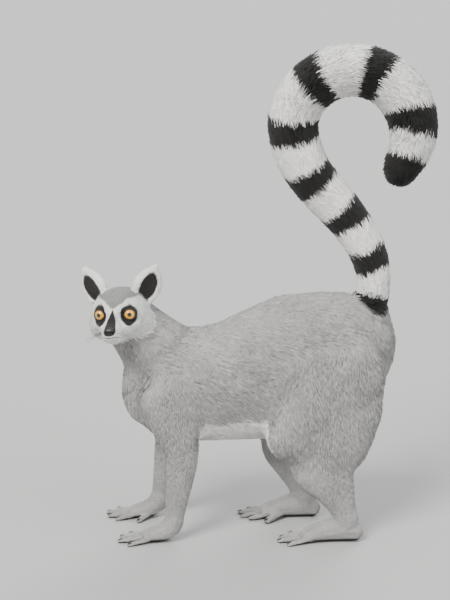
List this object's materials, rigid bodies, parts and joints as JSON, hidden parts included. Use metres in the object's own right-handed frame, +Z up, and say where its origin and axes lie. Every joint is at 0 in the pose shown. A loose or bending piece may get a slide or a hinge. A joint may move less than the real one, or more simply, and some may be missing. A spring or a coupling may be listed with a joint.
{
  "type": "ring-tailed lemur",
  "caption": "Life-size ring-tailed lemur standing on all fours, its head turned to its left and its ringed tail raised in a hook. A still figure that rests on its soles.",
  "frame": {"origin": "on the floor, under the middle of the model's box", "axes": "the animal's body faces -X, its right side is +Y and its left side -Y, and +Z is up; the head is turned to -Y"},
  "size_m": [0.4352, 0.1514, 0.6137],
  "materials": {
    "grey_coat": "soft grey fur with darker roots",
    "dark_grey_coat": "soft dark grey fur",
    "white_coat": "soft white fur",
    "black_coat": "soft black fur",
    "bare_skin": "bare black skin, moist on the nose",
    "amber_eye": "wet, glossy eye with an amber iris"
  },
  "bodies": {
    "root": {"ear_left": "white_coat", "ear_right": "white_coat", "eye_left": "amber_eye", "eye_right": "amber_eye", "foot_left": "grey_coat", "foot_right": "grey_coat", "forearm_left": "grey_coat", "forearm_right": "grey_coat", "hand_left": "grey_coat", "hand_right": "grey_coat", "head": "white_coat", "neck": "dark_grey_coat", "nose": "bare_skin", "shank_left": "grey_coat", "shank_right": "grey_coat", "tail_1": "black_coat", "tail_2": "white_coat", "tail_3": "black_coat", "tail_4": "white_coat", "tail_5": "black_coat", "tail_6": "white_coat", "thigh_left": "grey_coat", "thigh_right": "grey_coat", "trunk": "grey_coat", "upper_arm_left": "grey_coat", "upper_arm_right": "grey_coat"}
  },
  "joints": []
}
